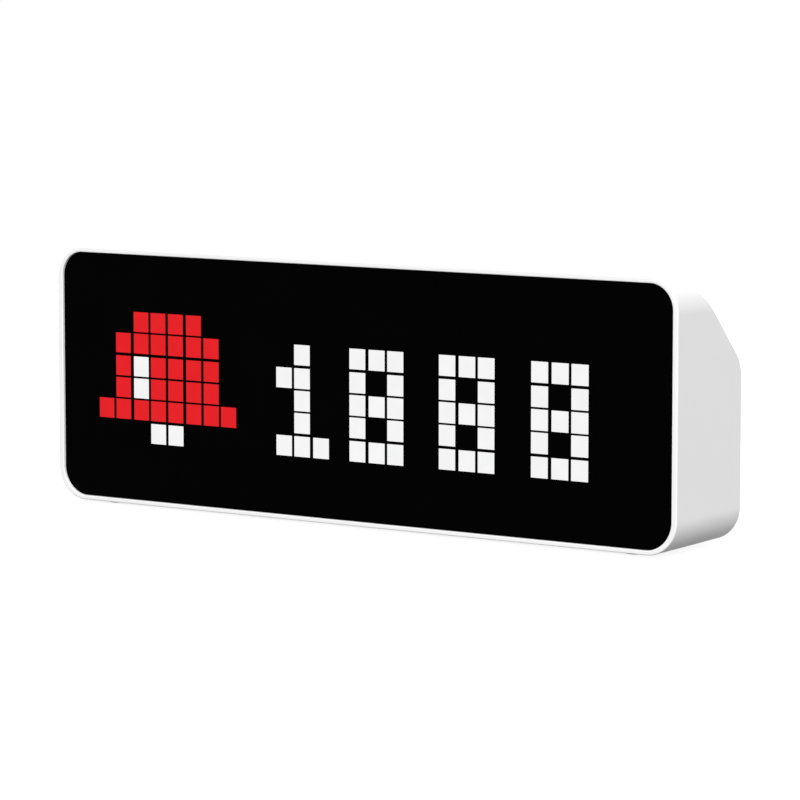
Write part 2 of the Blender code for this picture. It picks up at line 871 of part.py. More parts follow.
def power_socket():
    """The inlet's steel shell, open to the back, with a contact tongue inside."""
    mouth = shell_depth - socket_recess
    shell = plate(
        "socket_shell", pill(socket_width, socket_height), socket_length, upright, steel,
        world(socket_x, mouth - socket_length, socket_middle),
    )
    hole = pill(socket_width - 2 * socket_shell, socket_height - 2 * socket_shell)
    start = mouth - socket_length + socket_shell
    length = socket_length - socket_shell + overrun
    boolean(
        shell, plate("socket_mouth", hole, length, upright, location=world(socket_x, start, socket_middle))
    )
    margin = 2 * (socket_shell + fit_gap)
    root = pill(socket_width - margin, socket_height - margin)
    tongue = outline(tongue_width, tongue_thickness, tongue_thickness / 2, cap_steps)
    root_end = start + fit_gap + tongue_root_length
    sections = [
        (root, start + fit_gap),
        (root, root_end),
        (tongue, root_end),
        (tongue, root_end + tongue_length),
    ]
    lofted("socket_tongue", sections, upright, black_plastic, world(socket_x, 0, socket_middle))


# Battery


def cell_profile():
    """A cell's outline from its capped end down to its flat end, round the middle of its length."""
    top = cell_length / 2 - cell_cap_height
    groove = top - cell_groove_place
    half = cell_groove_depth
    return [
        (0, cell_length / 2),
        (cell_cap_radius, cell_length / 2),
        (cell_cap_radius, top),
        (cell_radius - cell_edge_radius, top),
        (cell_radius, top - cell_edge_radius),
        (cell_radius, groove + half),
        (cell_radius - cell_groove_depth, groove),
        (cell_radius, groove - half),
        (cell_radius, cell_edge_radius - cell_length / 2),
        (cell_radius - cell_edge_radius, -cell_length / 2),
        (0, -cell_length / 2),
    ]


def battery():
    along = (0, math.pi / 2, 0)
    for name, height in (("lower", lower_cell_height), ("upper", upper_cell_height)):
        place = world(0, cell_depth, height)
        turned(f"battery_cell_{name}", cell_profile(), cell_sleeve, place, along, cell_steps)
    span = upper_cell_height - lower_cell_height + link_width
    for name, side in (("left", -1), ("right", 1)):
        strip = outline(link_width, span, link_width / 2, cap_steps)
        place = world(side * link_x - link_thickness / 2, cell_depth, pack_middle)
        plate(f"battery_link_{name}", strip, link_thickness, sideways, nickel, place)


def lead_connector():
    """The white plug and socket that join the battery leads to the display board."""
    bottom = lead_socket_top - lead_socket_height
    depth = rear_face + lead_socket_depth / 2
    body = block(
        "lead_socket", (lead_socket_length, lead_socket_depth, lead_socket_height), connector_plastic,
        world(lead_socket_x, depth, bottom + lead_socket_height / 2),
    )
    pocket = (
        lead_socket_length - 2 * lead_socket_wall,
        lead_socket_depth - 2 * lead_socket_wall,
        lead_socket_pocket + overrun,
    )
    floor = lead_socket_top - lead_socket_pocket
    centre = world(lead_socket_x, depth, floor + pocket[2] / 2)
    boolean(body, blocks("lead_socket_pocket", pocket, [centre]))
    block(
        "lead_plug", (pocket[0] - 2 * fit_gap, pocket[1] - 2 * fit_gap, plug_height), connector_plastic,
        world(lead_socket_x, depth, floor + fit_gap + plug_height / 2),
    )
    return world(lead_socket_x, depth, floor + fit_gap + plug_height + fit_gap)


def lead(name, points, surface):
    """A round insulated wire through the points, smoothed between them."""
    path = bpy.data.curves.new(name, "CURVE")
    path.dimensions = "3D"
    path.bevel_depth = lead_radius
    path.bevel_resolution = lead_resolution
    path.use_fill_caps = True
    route = smoothed(points)
    spline = path.splines.new("POLY")
    spline.points.add(len(route) - 1)
    for knot, place in zip(spline.points, route):
        knot.co = (*place, 1)
    made = bpy.data.objects.new(name, path)
    path.materials.append(surface)
    clock.objects.link(made)


def smoothed(points, steps=lead_steps):
    """Points read from a smooth curve through the given ones."""
    ends = [points[0], *points, points[-1]]
    route = []
    for a, b, c, d in zip(ends, ends[1:], ends[2:], ends[3:]):
        for step in range(steps):
            t = step / steps
            bend = (2 * a - 5 * b + 4 * c - d) * t**2 + (3 * b - a - 3 * c + d) * t**3
            route.append((2 * b + (c - a) * t + bend) / 2)
    return route + [points[-1]]


def leads():
    top = lead_connector()
    start = link_x + link_thickness / 2 + fit_gap + lead_radius
    depth = cell_depth
    over = rib_top + lead_clearance + lead_radius
    over_depth = rear_face + ribbon_socket_depth + lead_clearance + lead_radius
    rise = Vector((0, 0, lead_rise))
    first = top - Vector((lead_pitch / 2, 0, 0))
    second = top + Vector((lead_pitch / 2, 0, 0))
    lead(
        "battery_lead_red",
        [
            world(start, depth, pack_middle),
            world(stop_outside + lead_spread / 2, depth, pack_middle + lead_rise),
            first + rise / 2 - Vector((lead_spread, -lead_rise, 0)),
            first + rise,
            first,
        ],
        red_insulation,
    )
    lead(
        "battery_lead_black",
        [
            world(-start, depth, pack_middle),
            world(-stop_outside - lead_spread / 2, depth, pack_middle + lead_rise),
            world(-stop_outside - lead_spread / 2, over_depth, upper_cell_height),
            world(-stop_x, over_depth, over),
            world(0, over_depth, over + lead_rise / 2),
            world(stop_x, over_depth, over),
            second + 3 * rise - Vector((lead_spread, 0, 0)),
            second + rise * 3 / 2,
            second,
        ],
        black_insulation,
    )


# Parts on the display board and its ribbons


def board_parts():
    depth = rear_face + module_thickness / 2
    block(
        "wifi_module", (module_width, module_thickness, module_height), board_laminate,
        world(left_parts_x, depth, module_bottom + module_height / 2),
    )
    depth = rear_face + module_thickness + fit_gap + can_depth / 2
    can = block(
        "wifi_shield", (can_width, can_depth, can_height), steel,
        world(left_parts_x, depth, module_bottom + can_margin + can_height / 2),
    )
    soften(can, can_edge_radius)
    rounding = quarter_round(buzzer_edge_radius, small_edge_steps)
    rim = [(buzzer_radius - inset, buzzer_depth - along) for along, inset in rounding]
    profile = [
        (0, buzzer_depth - buzzer_hole_depth),
        (buzzer_hole_radius, buzzer_depth - buzzer_hole_depth),
        (buzzer_hole_radius, buzzer_depth),
        *rim,
        (buzzer_radius, 0),
        (0, 0),
    ]
    place = world(buzzer_x, rear_face, buzzer_height)
    turned("buzzer", profile, black_plastic, place, toward_back, foot_steps)
    block(
        "climate_sensor", (climate_sensor_side, climate_sensor_depth, climate_sensor_side), steel,
        world(
            buzzer_x, rear_face + climate_sensor_depth / 2,
            buzzer_height + buzzer_radius + part_space / 2,
        ),
    )
    block(
        "clock_chip", (clock_chip_length, clock_chip_depth, clock_chip_width), black_plastic,
        world(chip_x, rear_face + clock_chip_depth / 2, chip_height),
    )
    block(
        "driver_chip", (driver_chip_side, driver_chip_depth, driver_chip_side), black_plastic,
        world(chip_x + clock_chip_length + part_space, rear_face + driver_chip_depth / 2, chip_height),
    )
    coil = block(
        "charge_coil", (coil_side, coil_depth, coil_side), black_plastic,
        world(chip_x, rear_face + coil_depth / 2, chip_height - coil_side - part_space),
    )
    soften(coil, coil_edge)
    dome = light_sensor_radius / 2
    profile = [
        (0, light_sensor_depth),
        (dome, light_sensor_depth - dome / 3),
        (light_sensor_radius, light_sensor_depth - dome),
        (light_sensor_radius, 0),
        (0, 0),
    ]
    place = world(0, board_front - fit_gap, lower_post_height)
    turned("light_sensor", profile, connector_plastic, place, toward_front)


def ribbon(name, x, upper, lower):
    """A flat cable between two places of depth and height, slanting over the middle third of its way."""
    third = (upper[1] - lower[1]) / 3
    points = [upper, (upper[0], upper[1] - third), (lower[0], lower[1] + third), lower]
    shape = bmesh.new()
    places = [shape.verts.new(world(x - ribbon_width / 2, depth, height)) for depth, height in points]
    line = [shape.edges.new(pair) for pair in zip(places, places[1:])]
    grown = bmesh.ops.extrude_edge_only(shape, edges=line)["geom"]
    moved = [corner for corner in grown if isinstance(corner, bmesh.types.BMVert)]
    bmesh.ops.translate(shape, verts=moved, vec=(ribbon_width, 0, 0))
    made = made_object(name, shape, ribbon_film)
    step = made.modifiers.new("film", "SOLIDIFY")
    step.thickness = ribbon_thickness
    step.offset = 0


def ribbon_socket(name, x, bottom):
    size = (ribbon_socket_length, ribbon_socket_depth, ribbon_socket_height)
    depth = rear_face + ribbon_socket_depth / 2
    block(name, size, connector_plastic, world(x, depth, bottom + ribbon_socket_height / 2))


def ribbons():
    socket_depth = rear_face + ribbon_socket_depth / 2
    bottom = ribbon_socket_top - ribbon_socket_height
    ribbon_socket("button_ribbon_socket", 0, bottom)
    top = button_board_bottom - fit_gap
    depth = (board_back + button_board_back) / 2
    low = ribbon_socket_top + fit_gap
    ribbon("button_ribbon", 0, (depth, top), (socket_depth, low))
    x = io_board_left + ribbon_socket_length / 2
    bottom = lead_socket_top - lead_socket_height
    ribbon_socket("socket_ribbon_socket", x, bottom)
    low = io_board_top + fit_gap
    high = bottom - fit_gap
    depth = io_board_front + ribbon_thickness
    ribbon("socket_ribbon", x, (socket_depth, high), (depth, low))


def shade_rounds():
    """Gives each part its finished mesh, shaded smooth except across its sharp edges."""
    graph = bpy.context.evaluated_depsgraph_get()
    parts = [made for made in clock.objects if made.type == "MESH"]
    meshes = [bpy.data.meshes.new_from_object(made.evaluated_get(graph)) for made in parts]
    for made, mesh in zip(parts, meshes):
        made.modifiers.clear()
        made.data = mesh
        mesh.name = made.name
        mesh.shade_smooth()
        mesh.set_sharp_from_angle(angle=sharp_angle)


housing()
panel()
diffuser()
light_grid()
matrix_board()
screws()
feet()
top_buttons()
socket_board()
power_control()
power_socket()
battery()
leads()
board_parts()
ribbons()
shade_rounds()
print(f"housing {shell_width:.4f} wide, {shell_height:.4f} high, {shell_depth:.4f} deep")
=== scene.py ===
# Pixel clock: the looks of its housing, panel, lit pixels, buttons, rear socket, feet and inner parts

import json
import math

import bmesh
import bpy
from mathutils import Matrix, Vector

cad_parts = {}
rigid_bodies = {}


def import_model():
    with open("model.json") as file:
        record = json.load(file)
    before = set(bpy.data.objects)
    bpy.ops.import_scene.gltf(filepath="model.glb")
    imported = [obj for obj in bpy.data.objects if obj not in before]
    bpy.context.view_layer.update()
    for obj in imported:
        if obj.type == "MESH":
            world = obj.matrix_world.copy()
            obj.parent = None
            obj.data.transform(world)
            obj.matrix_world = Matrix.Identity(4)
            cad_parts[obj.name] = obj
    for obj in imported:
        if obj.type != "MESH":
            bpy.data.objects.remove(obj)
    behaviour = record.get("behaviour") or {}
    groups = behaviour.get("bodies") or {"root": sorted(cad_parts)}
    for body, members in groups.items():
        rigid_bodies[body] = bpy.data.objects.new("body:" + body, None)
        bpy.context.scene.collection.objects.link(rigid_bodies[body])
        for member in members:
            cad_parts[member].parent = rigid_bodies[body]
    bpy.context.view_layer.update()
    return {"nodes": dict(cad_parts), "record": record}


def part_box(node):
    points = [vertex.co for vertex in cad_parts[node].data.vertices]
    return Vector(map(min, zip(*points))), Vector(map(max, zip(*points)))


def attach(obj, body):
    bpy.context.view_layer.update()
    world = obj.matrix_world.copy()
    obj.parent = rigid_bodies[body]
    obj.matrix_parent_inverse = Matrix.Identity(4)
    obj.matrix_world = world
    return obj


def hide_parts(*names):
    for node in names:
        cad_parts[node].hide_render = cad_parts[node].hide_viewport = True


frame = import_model()
cadNodes = frame["nodes"]

for item in list(bpy.data.objects):
    if item.name in ("Cube", "Light", "Camera"):
        bpy.data.objects.remove(item)

xAxis, yAxis = 0, 1

mergeDistance = 0.000002  # vertices closer than this become one
roundShare = 0.999  # a round end's radius as a share of half its width, so that no two corners meet

# Turns that stand an outline, drawn flat and looking up, so that it looks another way
facing = {
    "top": Matrix.Identity(4),
    "bottom": Matrix.Rotation(math.radians(180), 4, "X"),
    "front": Matrix.Rotation(math.radians(90), 4, "X"),
    "back": Matrix.Rotation(math.radians(180), 4, "Z") @ Matrix.Rotation(math.radians(90), 4, "X"),
}


# Finishes

finishes = {}


def newFinish(name, settings):
    material = bpy.data.materials.new(name)
    material.use_nodes = True
    shader = material.node_tree.nodes["Principled BSDF"]
    shader.inputs["Roughness"].default_value = settings["roughness"]
    shader.inputs["Metallic"].default_value = settings.get("metallic", 0)
    shader.inputs["Specular IOR Level"].default_value = settings.get("specular", 0.5)
    shader.inputs["Base Color"].default_value = (*settings["colour"], 1)
    finishes[name] = material
    return material.node_tree, shader


def addPattern(tree, scale, stretch=(1, 1, 1), detail=3):
    # Noise on the piece's own coordinates
    where = tree.nodes.new("ShaderNodeTexCoord")
    mapping = tree.nodes.new("ShaderNodeMapping")
    mapping.inputs["Scale"].default_value = stretch
    noise = tree.nodes.new("ShaderNodeTexNoise")
    noise.inputs["Scale"].default_value = scale
    noise.inputs["Detail"].default_value = detail
    tree.links.new(where.outputs["Object"], mapping.inputs["Vector"])
    tree.links.new(mapping.outputs["Vector"], noise.inputs["Vector"])
    return noise.outputs["Fac"]


patternRange = (0.3, 0.7)  # most of a noise lies between these values


def addRange(tree, pattern, low, high):
    spread = tree.nodes.new("ShaderNodeMapRange")
    spread.inputs["From Min"].default_value = patternRange[0]
    spread.inputs["From Max"].default_value = patternRange[1]
    spread.inputs["To Min"].default_value = low
    spread.inputs["To Max"].default_value = high
    tree.links.new(pattern, spread.inputs["Value"])
    return spread.outputs["Result"]


def addColours(tree, pattern, first, second):
    mixed = tree.nodes.new("ShaderNodeMix")
    mixed.data_type = "RGBA"
    mixed.inputs["A"].default_value = (*first, 1)
    mixed.inputs["B"].default_value = (*second, 1)
    tree.links.new(addRange(tree, pattern, 0, 1), mixed.inputs["Factor"])
    return mixed.outputs["Result"]


def addBump(tree, shader, pattern, height):
    bump = tree.nodes.new("ShaderNodeBump")
    bump.inputs["Strength"].default_value = 1
    bump.inputs["Distance"].default_value = height
    tree.links.new(pattern, bump.inputs["Height"])
    tree.links.new(bump.outputs["Normal"], shader.inputs["Normal"])


def surfaceFinish(name, settings):
    # A colour that drifts a little, a roughness that varies and a fine texture in relief
    tree, shader = newFinish(name, settings)
    stretch = settings.get("stretch", (1, 1, 1))
    drift = addPattern(tree, settings["driftScale"], stretch)
    colours = addColours(tree, drift, settings["colour"], settings["secondColour"])
    tree.links.new(colours, shader.inputs["Base Color"])
    wear = addPattern(tree, settings["wearScale"], stretch)
    low, high = settings["roughness"] - settings["spread"], settings["roughness"] + settings["spread"]
    tree.links.new(addRange(tree, wear, low, high), shader.inputs["Roughness"])
    grain = addPattern(tree, settings["grainScale"], stretch, detail=2)
    addBump(tree, shader, grain, settings["grainHeight"])


surfaceSettings = {
    "white_plastic": {
        "colour": (0.870, 0.870, 0.870), "secondColour": (0.876, 0.876, 0.876), "roughness": 0.46,
        "spread": 0.03, "driftScale": 40, "wearScale": 90, "grainScale": 2600, "grainHeight": 0.000006,
    },
    "smoked_acrylic": {
        "colour": (0.0005, 0.0005, 0.0005), "secondColour": (0.0007, 0.0007, 0.0008), "roughness": 0.2,
        "spread": 0.02, "specular": 0.006, "driftScale": 60, "wearScale": 120, "grainScale": 900,
        "grainHeight": 0.000001,
    },
    "adhesive": {
        "colour": (0.02, 0.02, 0.02), "secondColour": (0.035, 0.035, 0.035), "roughness": 0.85,
        "spread": 0.08, "driftScale": 900, "wearScale": 1200, "grainScale": 3500, "grainHeight": 0.00003,
    },
    "diffuser_film": {
        "colour": (0.80, 0.80, 0.78), "secondColour": (0.84, 0.84, 0.83), "roughness": 0.55,
        "spread": 0.05, "driftScale": 50, "wearScale": 200, "grainScale": 4000, "grainHeight": 0.000004,
    },
    "black_plastic": {
        "colour": (0.014, 0.014, 0.015), "secondColour": (0.022, 0.022, 0.023), "roughness": 0.5,
        "spread": 0.08, "driftScale": 150, "wearScale": 300, "grainScale": 3000, "grainHeight": 0.000008,
    },
    "steel": {
        "colour": (0.60, 0.60, 0.62), "secondColour": (0.68, 0.68, 0.69), "roughness": 0.3, "metallic": 1,
        "spread": 0.09, "driftScale": 300, "wearScale": 500, "grainScale": 2500, "grainHeight": 0.000002,
        "stretch": (0.12, 1, 1),
    },
    "nickel": {
        "colour": (0.68, 0.65, 0.58), "secondColour": (0.74, 0.71, 0.65), "roughness": 0.36, "metallic": 1,
        "spread": 0.08, "driftScale": 250, "wearScale": 500, "grainScale": 2200, "grainHeight": 0.000003,
        "stretch": (1, 1, 0.15),
    },
    "foot_rubber": {
        "colour": (0.105, 0.105, 0.11), "secondColour": (0.135, 0.135, 0.14), "roughness": 0.85,
        "spread": 0.06, "driftScale": 400, "wearScale": 700, "grainScale": 2600, "grainHeight": 0.000015,
    },
    "cell_sleeve": {
        "colour": (0.025, 0.15, 0.40), "secondColour": (0.035, 0.18, 0.46), "roughness": 0.33,
        "spread": 0.06, "driftScale": 90, "wearScale": 200, "grainScale": 700, "grainHeight": 0.00002,
    },
    "red_insulation": {
        "colour": (0.56, 0.02, 0.02), "secondColour": (0.64, 0.03, 0.025), "roughness": 0.48,
        "spread": 0.07, "driftScale": 300, "wearScale": 600, "grainScale": 2500, "grainHeight": 0.00001,
    },
    "black_insulation": {
        "colour": (0.016, 0.016, 0.016), "secondColour": (0.026, 0.026, 0.026), "roughness": 0.48,
        "spread": 0.07, "driftScale": 300, "wearScale": 600, "grainScale": 2500, "grainHeight": 0.00001,
    },
    "connector_plastic": {
        "colour": (0.76, 0.74, 0.66), "secondColour": (0.80, 0.78, 0.70), "roughness": 0.5,
        "spread": 0.06, "driftScale": 200, "wearScale": 400, "grainScale": 2600, "grainHeight": 0.000008,
    },
}

for slotName, settings in surfaceSettings.items():
    surfaceFinish(slotName, settings)


# Solder mask with the tracks under it standing in low relief
boardFinish = {
    "colour": (0.010, 0.012, 0.016), "trackColour": (0.020, 0.026, 0.032), "roughness": 0.38,
    "trackPitch": 0.0018, "trackShare": 0.09, "relief": 0.00002,
}


def makeBoardFinish():
    tree, shader = newFinish("board_laminate", boardFinish)
    where = tree.nodes.new("ShaderNodeTexCoord")
    tracks = tree.nodes.new("ShaderNodeTexBrick")
    brick = tracks.inputs["Brick Width"].default_value
    tracks.inputs["Scale"].default_value = brick / boardFinish["trackPitch"]
    tracks.inputs["Mortar Size"].default_value = boardFinish["trackShare"]
    tracks.inputs["Color1"].default_value = (*boardFinish["colour"], 1)
    tracks.inputs["Color2"].default_value = (*boardFinish["colour"], 1)
    tracks.inputs["Mortar"].default_value = (*boardFinish["trackColour"], 1)
    turned = tree.nodes.new("ShaderNodeMapping")
    turned.inputs["Rotation"].default_value = (math.radians(90), 0, 0)
    tree.links.new(where.outputs["Object"], turned.inputs["Vector"])
    tree.links.new(turned.outputs["Vector"], tracks.inputs["Vector"])
    tree.links.new(tracks.outputs["Color"], shader.inputs["Base Color"])
    addBump(tree, shader, tracks.outputs["Fac"], boardFinish["relief"])


# White film with the flat wires showing through as fine grey lines
ribbonFinish = {
    "colour": (0.85, 0.85, 0.83), "wireColour": (0.66, 0.67, 0.68), "roughness": 0.38,
    "wirePitch": 0.001, "relief": 0.00003,
    "waveLength": 0.314,  # of the wave texture's own bands at a scale of 1
}


def makeRibbonFinish():
    tree, shader = newFinish("ribbon_film", ribbonFinish)
    where = tree.nodes.new("ShaderNodeTexCoord")
    wires = tree.nodes.new("ShaderNodeTexWave")
    wires.wave_type = "BANDS"
    wires.bands_direction = "X"
    wires.inputs["Scale"].default_value = ribbonFinish["waveLength"] / ribbonFinish["wirePitch"]
    tree.links.new(where.outputs["Object"], wires.inputs["Vector"])
    colours = addColours(tree, wires.outputs["Fac"], ribbonFinish["wireColour"], ribbonFinish["colour"])
    tree.links.new(colours, shader.inputs["Base Color"])
    addBump(tree, shader, wires.outputs["Fac"], ribbonFinish["relief"])


# A pixel glows through the panel, a little weaker in some places than in others
glowSurface = {"colour": (0.001, 0.001, 0.001), "roughness": 0.3, "specular": 0.02, "driftScale": 220}
glowSettings = {
    "lit_white": {"colour": (0.925, 0.925, 0.925), "secondColour": (0.895, 0.895, 0.900)},
    "lit_red": {"colour": (0.798, 0.0150, 0.0195), "secondColour": (0.772, 0.0142, 0.0186)},
}


def makeGlow(name, settings):
    tree, shader = newFinish(name, glowSurface)
    drift = addPattern(tree, glowSurface["driftScale"], detail=1)
    colours = addColours(tree, drift, settings["colour"], settings["secondColour"])
    tree.links.new(colours, shader.inputs["Emission Color"])
    shader.inputs["Emission Strength"].default_value = 1


# Gold on the contacts of the socket
goldSettings = {
    "colour": (0.80, 0.58, 0.25), "secondColour": (0.86, 0.64, 0.30), "roughness": 0.25, "metallic": 1,
    "spread": 0.06, "driftScale": 500, "wearScale": 900, "grainScale": 3000, "grainHeight": 0.000001,
}

makeBoardFinish()
makeRibbonFinish()
surfaceFinish("contact_gold", goldSettings)
for glowName, settings in glowSettings.items():
    makeGlow(glowName, settings)
print("finishes made:", len(finishes))


# Tools for shaping

def edgesAlong(shape, axis, least=0.99):
    # Edges that run along an axis, or nearly so on drafted sides
    found = []
    for edge in shape.edges:
        way = (edge.verts[0].co - edge.verts[1].co).normalized()
        if abs(way[axis]) > least:
            found.append(edge)
    return found


def roundEdges(shape, edges, offset, steps):
    bmesh.ops.bevel(
        shape, geom=edges, offset=offset, offset_type="OFFSET", segments=steps, profile=0.5,
        affect="EDGES", material=-1, clamp_overlap=True,
    )


def sharpEdges(shape, least):
    return [edge for edge in shape.edges if edge.is_manifold and edge.calc_face_angle() > least]


def roundedSheet(width, height, radius, steps, lowerRadius=None):
    # A flat rounded rectangle that looks up, whose lower corners may be rounder
    shape = bmesh.new()
    bmesh.ops.create_grid(shape, x_segments=1, y_segments=1, size=0.5)
    bmesh.ops.scale(shape, vec=(width, height, 1), verts=shape.verts)
    upper = [corner for corner in shape.verts if corner.co.y > 0]
    lower = [corner for corner in shape.verts if corner.co.y < 0]
    for corners, offset in ((upper, radius), (lower, lowerRadius or radius)):
        bmesh.ops.bevel(
            shape, geom=corners, offset=offset, offset_type="OFFSET", segments=steps, profile=0.5,
            affect="VERTICES", material=-1, clamp_overlap=True,
        )
    bmesh.ops.remove_doubles(shape, verts=shape.verts, dist=mergeDistance)
    return shape


def roundEnded(width, height, steps):
    return roundedSheet(width, height, min(width, height) / 2 * roundShare, steps)


def stack(shape, sections):
    # Extrudes a flat outline through sections of width, height and level
    width, height, level = sections[0]
    size = [max(corner.co[axis] for corner in shape.verts) * 2 for axis in (xAxis, yAxis)]
    bmesh.ops.scale(shape, vec=(width / size[0], height / size[1], 1), verts=shape.verts)
    bmesh.ops.translate(shape, vec=(0, 0, level), verts=shape.verts)
    bottom = top = next(iter(shape.faces))
    for nextWidth, nextHeight, nextLevel in sections[1:]:
        made = bmesh.ops.extrude_face_region(shape, geom=[top])["geom"]
        if top is not bottom:
            bmesh.ops.delete(shape, geom=[top], context="FACES_ONLY")
        top = next(part for part in made if isinstance(part, bmesh.types.BMFace))
        bmesh.ops.translate(shape, vec=(0, 0, nextLevel - level), verts=top.verts)
        bmesh.ops.scale(shape, vec=(nextWidth / width, nextHeight / height, 1), verts=top.verts)
        width, height, level = nextWidth, nextHeight, nextLevel
    bmesh.ops.recalc_face_normals(shape, faces=shape.faces)
    return shape


def roundOver(width, height, level, radius, steps):
    # Sections of an outer edge that is rounded over up to a level
    sections = []
    for step in range(steps + 1):
        angle = step / steps * math.pi / 2
        inset = radius * (1 - math.cos(angle))
        sections.append((width - 2 * inset, height - 2 * inset, level - radius * (1 - math.sin(angle))))
    return sections


def turned(profile, steps):
    # A solid turned about Z from pairs of radius and level, both ends on the axis
    shape = bmesh.new()
    corners = [shape.verts.new((radius, 0, level)) for radius, level in profile]
    lines = [shape.edges.new(pair) for pair in zip(corners, corners[1:])]
    bmesh.ops.spin(
        shape, geom=corners + lines, cent=(0, 0, 0), axis=(0, 0, 1), angle=math.tau, steps=steps,
        use_merge=True,
    )
    bmesh.ops.remove_doubles(shape, verts=shape.verts, dist=mergeDistance)
    bmesh.ops.recalc_face_normals(shape, faces=shape.faces)
    return shape


def turnedRound(radius, level, edge, steps):
    # Pairs that round an outer edge off, from the side to the face
    pairs = []
    for step in range(steps + 1):
        angle = step / steps * math.pi / 2
        pairs.append((radius - edge * (1 - math.cos(angle)), level - edge * (1 - math.sin(angle))))
    return pairs


def standing(shape, side, place):
    # Turns a shape to its side of the clock and moves it there
    bmesh.ops.transform(shape, matrix=Matrix.Translation(place) @ facing[side], verts=shape.verts)
    return shape


def asObject(name, shape):
    mesh = bpy.data.meshes.new(name)
    shape.to_mesh(mesh)
    shape.free()
    made = bpy.data.objects.new(name, mesh)
    bpy.context.scene.collection.objects.link(made)
    return made


shadingSet = {"sharpAngle": math.radians(32), "faceWeight": 80}


def smoothShaded(piece):
    piece.data.shade_smooth()
    piece.data.set_sharp_from_angle(angle=shadingSet["sharpAngle"])
    weighted = piece.modifiers.new("evenNormals", "WEIGHTED_NORMAL")
    weighted.keep_sharp = True
    weighted.weight = shadingSet["faceWeight"]


def finishedPiece(piece, finish, body, replaced=()):
    piece.data.materials.clear()
    piece.data.materials.append(finishes[finish])
    smoothShaded(piece)
    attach(piece, body)
    if replaced:
        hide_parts(*replaced)
    return piece


def cutAway(target, cutters):
    # Cuts the solids out of a piece and leaves it as one plain mesh
    for cutter in cutters:
        cut = target.modifiers.new("cut", "BOOLEAN")
        cut.operation = "DIFFERENCE"
        cut.solver = "EXACT"
        cut.object = cutter
    bpy.context.view_layer.update()
    evaluated = target.evaluated_get(bpy.context.evaluated_depsgraph_get())
    mesh = bpy.data.meshes.new_from_object(evaluated)
    target.modifiers.clear()
    target.data = mesh
    for cutter in cutters:
        bpy.data.objects.remove(cutter)


def middleOf(node):
    low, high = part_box(node)
    return (low + high) / 2


def sizeOf(node):
    low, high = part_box(node)
    return high - low


# Housing

housingSet = {
    "wall": 0.0027, "cornerRadius": 0.009, "draft": math.radians(0.7), "topFlat": 0.0089,
    "slope": math.radians(45), "blendRadius": 0.008, "ledgeDepth": 0.0033, "frontEdge": 0.00034,
    "backEdge": 0.0004, "leastSharp": math.radians(22), "holeEdge": 0.00015, "gap": 0.0003,
    "cornerSteps": 20, "blendSteps": 14, "edgeSteps": 4, "endSteps": 12, "ventSteps": 6, "overrun": 0.002,
    "footRecess": 0.0008, "ventRadius": 0.0007, "ventPitch": 0.0024, "ventsRound": 6,
}

caseLow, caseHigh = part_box("housing")
caseSize = caseHigh - caseLow
caseMiddle = (caseLow + caseHigh) / 2
clockBody = "clock_body"


def caseForm(inset, front, back):
    # The housing's outer form, drawn in by an inset, between two depths behind the front plane
    s = housingSet
    shape = bmesh.new()
    bmesh.ops.create_cube(shape, size=1)
    for corner in shape.verts:
        depth = front if corner.co.y < 0 else back
        drawn = inset + depth * math.tan(s["draft"])
        corner.co.x = math.copysign(caseSize.x / 2 - drawn, corner.co.x)
        corner.co.z = caseMiddle.z + math.copysign(caseSize.z / 2 - drawn, corner.co.z)
        corner.co.y = caseLow.y + depth
    roundEdges(shape, edgesAlong(shape, yAxis), s["cornerRadius"] - inset, s["cornerSteps"])
    normal = Vector((0, math.sin(s["slope"]), math.cos(s["slope"])))
    onSlope = Vector((0, caseLow.y + s["topFlat"], caseHigh.z)) - normal * inset
    whole = shape.verts[:] + shape.edges[:] + shape.faces[:]
    cut = bmesh.ops.bisect_plane(shape, geom=whole, plane_co=onSlope, plane_no=normal, clear_outer=True)
    rim = [part for part in cut["geom_cut"] if isinstance(part, bmesh.types.BMEdge)]
    bmesh.ops.edgeloop_fill(shape, edges=rim)
    bmesh.ops.recalc_face_normals(shape, faces=shape.faces)
    # The crease where the slope meets the upright back: furthest back, and the higher one there
    across = edgesAlong(shape, xAxis)
    crease = max(across, key=lambda edge: (round(edge.verts[0].co.y, 5), edge.verts[0].co.z))
    turn = math.pi / 2 - s["slope"]
    roundEdges(shape, [crease], (s["blendRadius"] - inset) * math.tan(turn / 2), s["blendSteps"])
    return shape


def outerCase():
    s = housingSet
    shape = caseForm(0, 0, caseSize.y)
    # The outline of the front plane, then what lies behind the middle of the flat top
    front = [
        edge for edge in sharpEdges(shape, s["leastSharp"])
        if max(corner.co.y for corner in edge.verts) < caseLow.y + s["frontEdge"]
    ]
    roundEdges(shape, front, s["frontEdge"], s["edgeSteps"])
    rear = [
        edge for edge in sharpEdges(shape, s["leastSharp"])
        if min(corner.co.y for corner in edge.verts) > caseLow.y + s["topFlat"] / 2
    ]
    roundEdges(shape, rear, s["backEdge"], s["edgeSteps"])
    return asObject("housingShell", shape)


def mouth(base, width, height, depth, edge):
    # A hole's solid, looking up from its floor, with the edge of its mouth rounded outward at level zero
    s = housingSet
    flare = []
    for step in range(s["edgeSteps"] + 1):
        angle = step / s["edgeSteps"] * math.pi / 2
        grow = edge * (1 - math.cos(angle))
        flare.append((width + 2 * grow, height + 2 * grow, -edge * (1 - math.sin(angle))))
    last = flare[-1]
    return stack(base, [(width, height, -depth), *flare, (last[0], last[1], s["overrun"])])


def roundMouth(width, height, depth, steps=housingSet["endSteps"]):
    # The solid of a hole with round ends
    return mouth(roundEnded(width, height, steps), width, height, depth, housingSet["holeEdge"])


